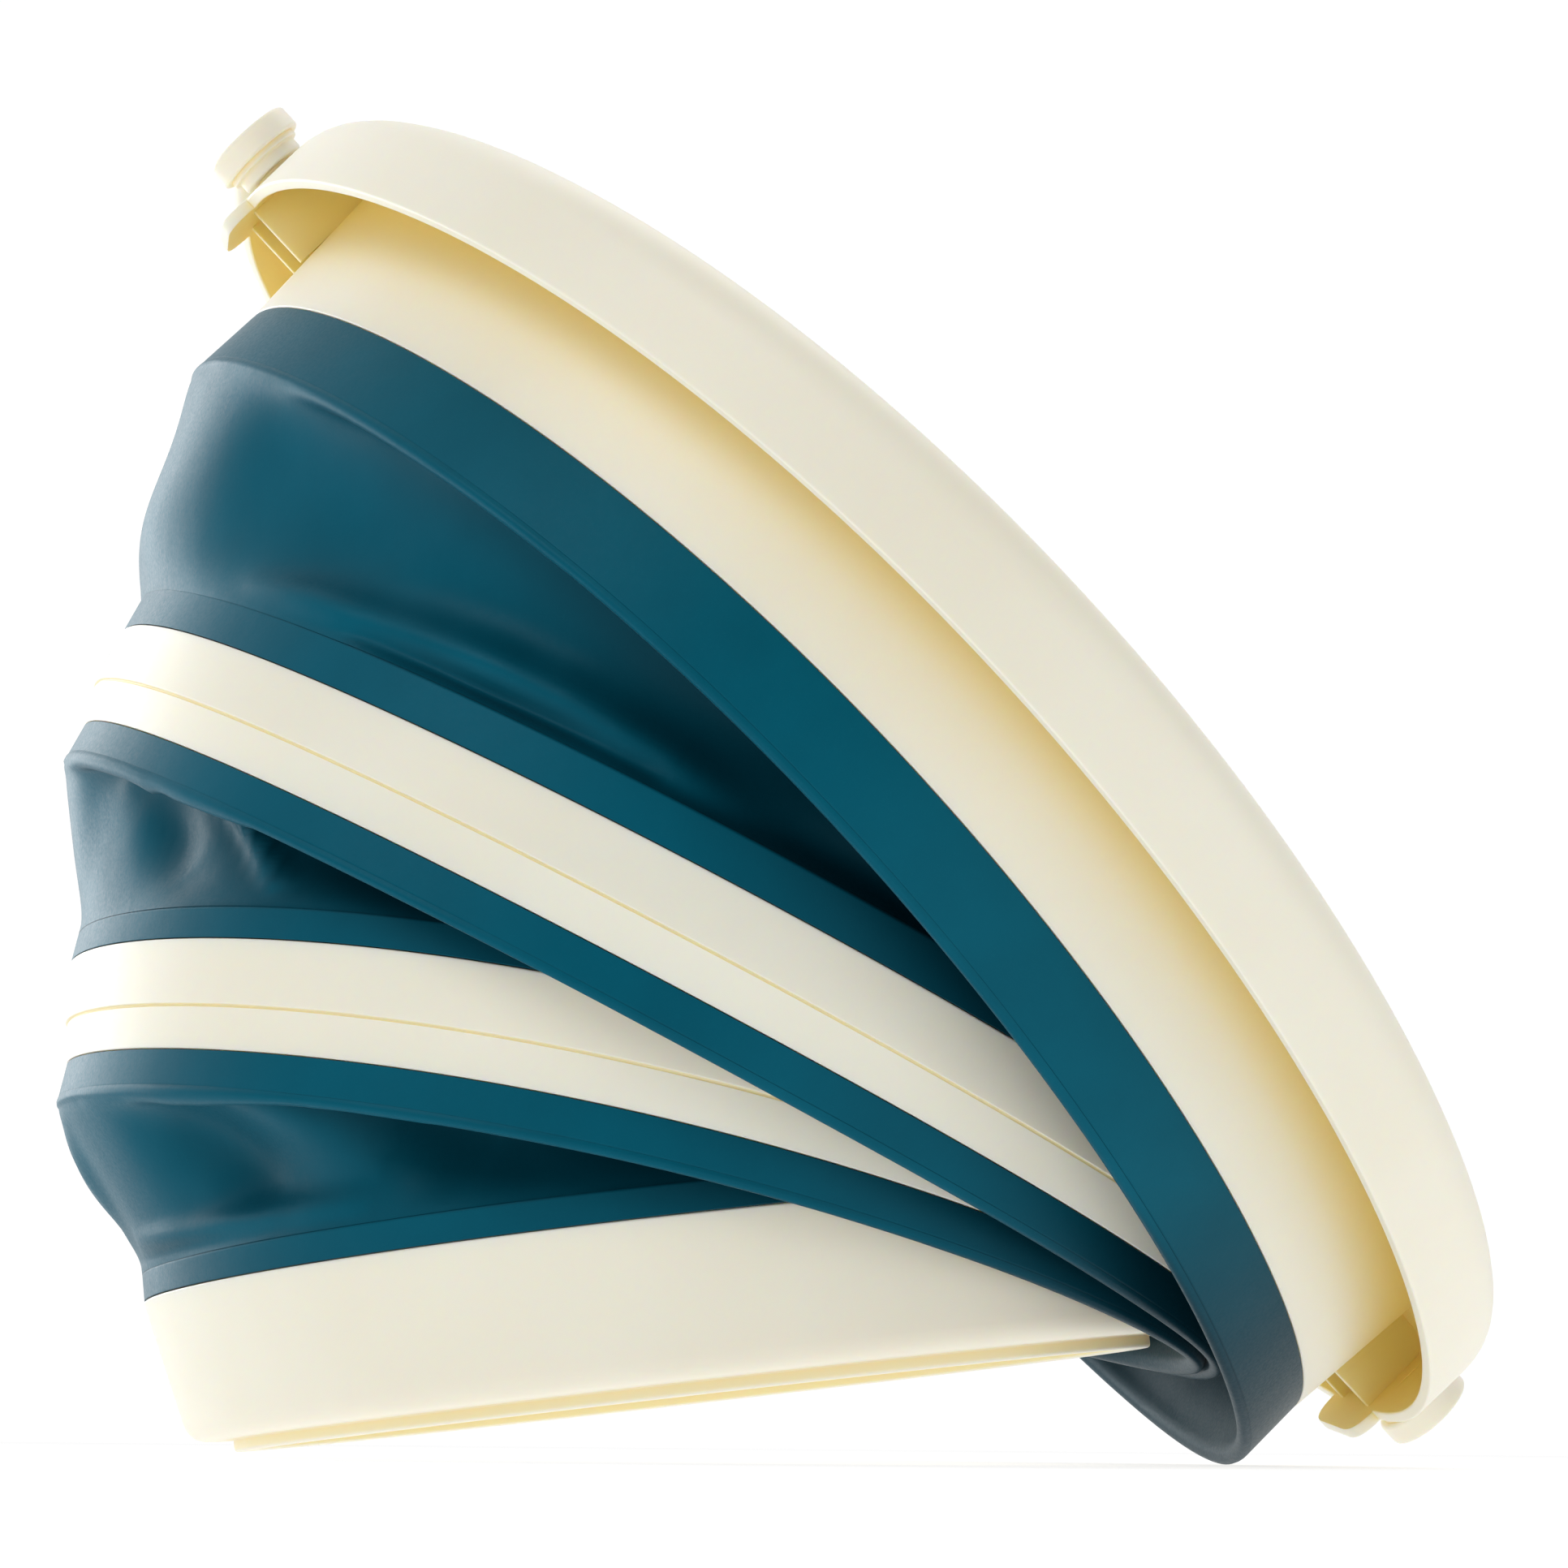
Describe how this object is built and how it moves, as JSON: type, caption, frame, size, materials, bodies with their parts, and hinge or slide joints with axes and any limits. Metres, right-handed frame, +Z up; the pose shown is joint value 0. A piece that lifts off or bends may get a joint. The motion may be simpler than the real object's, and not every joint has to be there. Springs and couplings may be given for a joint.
{
  "type": "collapsible bucket",
  "caption": "Round folding bucket of stiff plastic rings joined by soft elastomer gaiters, with a rolled rim and a swinging bail handle, caught half folded.",
  "frame": {"origin": "on the table under the middle of the half folded bucket's bounding box", "axes": "+Z up, +X towards the folded side, +Y along the fold lines, towards the side where the bail rests"},
  "size_m": [0.2692, 0.3236, 0.2494],
  "materials": {
    "cream_plastic": "satin moulded polypropylene, warm cream",
    "teal_elastomer": "matte thermoplastic elastomer, dark teal"
  },
  "bodies": {
    "base": {"base_pan": "cream_plastic", "lower_gaiter_bottom_collar": "teal_elastomer"},
    "lower_web": {"lower_gaiter_sheet": "teal_elastomer"},
    "lower_band": {"lower_ring": "cream_plastic", "lower_gaiter_top_collar": "teal_elastomer", "middle_gaiter_bottom_collar": "teal_elastomer"},
    "middle_web": {"middle_gaiter_sheet": "teal_elastomer"},
    "upper_band": {"upper_ring": "cream_plastic", "middle_gaiter_top_collar": "teal_elastomer", "upper_gaiter_bottom_collar": "teal_elastomer"},
    "upper_web": {"upper_gaiter_sheet": "teal_elastomer"},
    "mouth": {"rim": "cream_plastic", "upper_gaiter_top_collar": "teal_elastomer"},
    "bail": {"bail_handle": "cream_plastic"}
  },
  "joints": [
    {"name": "lower_open", "type": "hinge", "parent": "base", "child": "lower_web", "pos_m": [-0.12943, -0.00428, 0.07108], "axis": [0, -1, 0], "range_deg": [0, 19.3], "deforming": ["lower_gaiter_sheet"]},
    {"name": "lower_fold", "type": "hinge", "parent": "lower_web", "child": "lower_band", "pos_m": [0.07169, -0.00428, 0.06177], "axis": [0, 1, 0], "range_deg": [-19.3, 0], "deforming": ["lower_gaiter_sheet"]},
    {"name": "middle_open", "type": "hinge", "parent": "lower_band", "child": "middle_web", "pos_m": [-0.16484, -0.00428, 0.14329], "axis": [0, -1, 0], "range_deg": [0, 14.8], "deforming": ["middle_gaiter_sheet"]},
    {"name": "middle_fold", "type": "hinge", "parent": "middle_web", "child": "upper_band", "pos_m": [0.06542, -0.00428, 0.06084], "axis": [0, 1, 0], "range_deg": [-14.8, 0], "deforming": ["middle_gaiter_sheet"]},
    {"name": "upper_open", "type": "hinge", "parent": "upper_band", "child": "upper_web", "pos_m": [-0.10366, -0.00428, 0.17276], "axis": [0, -1, 0], "range_deg": [0, 18], "deforming": ["upper_gaiter_sheet"]},
    {"name": "upper_fold", "type": "hinge", "parent": "upper_web", "child": "mouth", "pos_m": [0.08538, -0.00428, 0.03491], "axis": [0, 1, 0], "range_deg": [-18, 0], "deforming": ["upper_gaiter_sheet"]},
    {"name": "bail_hinge", "type": "hinge", "parent": "mouth", "child": "bail", "pos_m": [0.01219, -0.00428, 0.12656], "axis": [0.6951, 0.1736, -0.6976], "range_deg": [0, 180]}
  ]
}
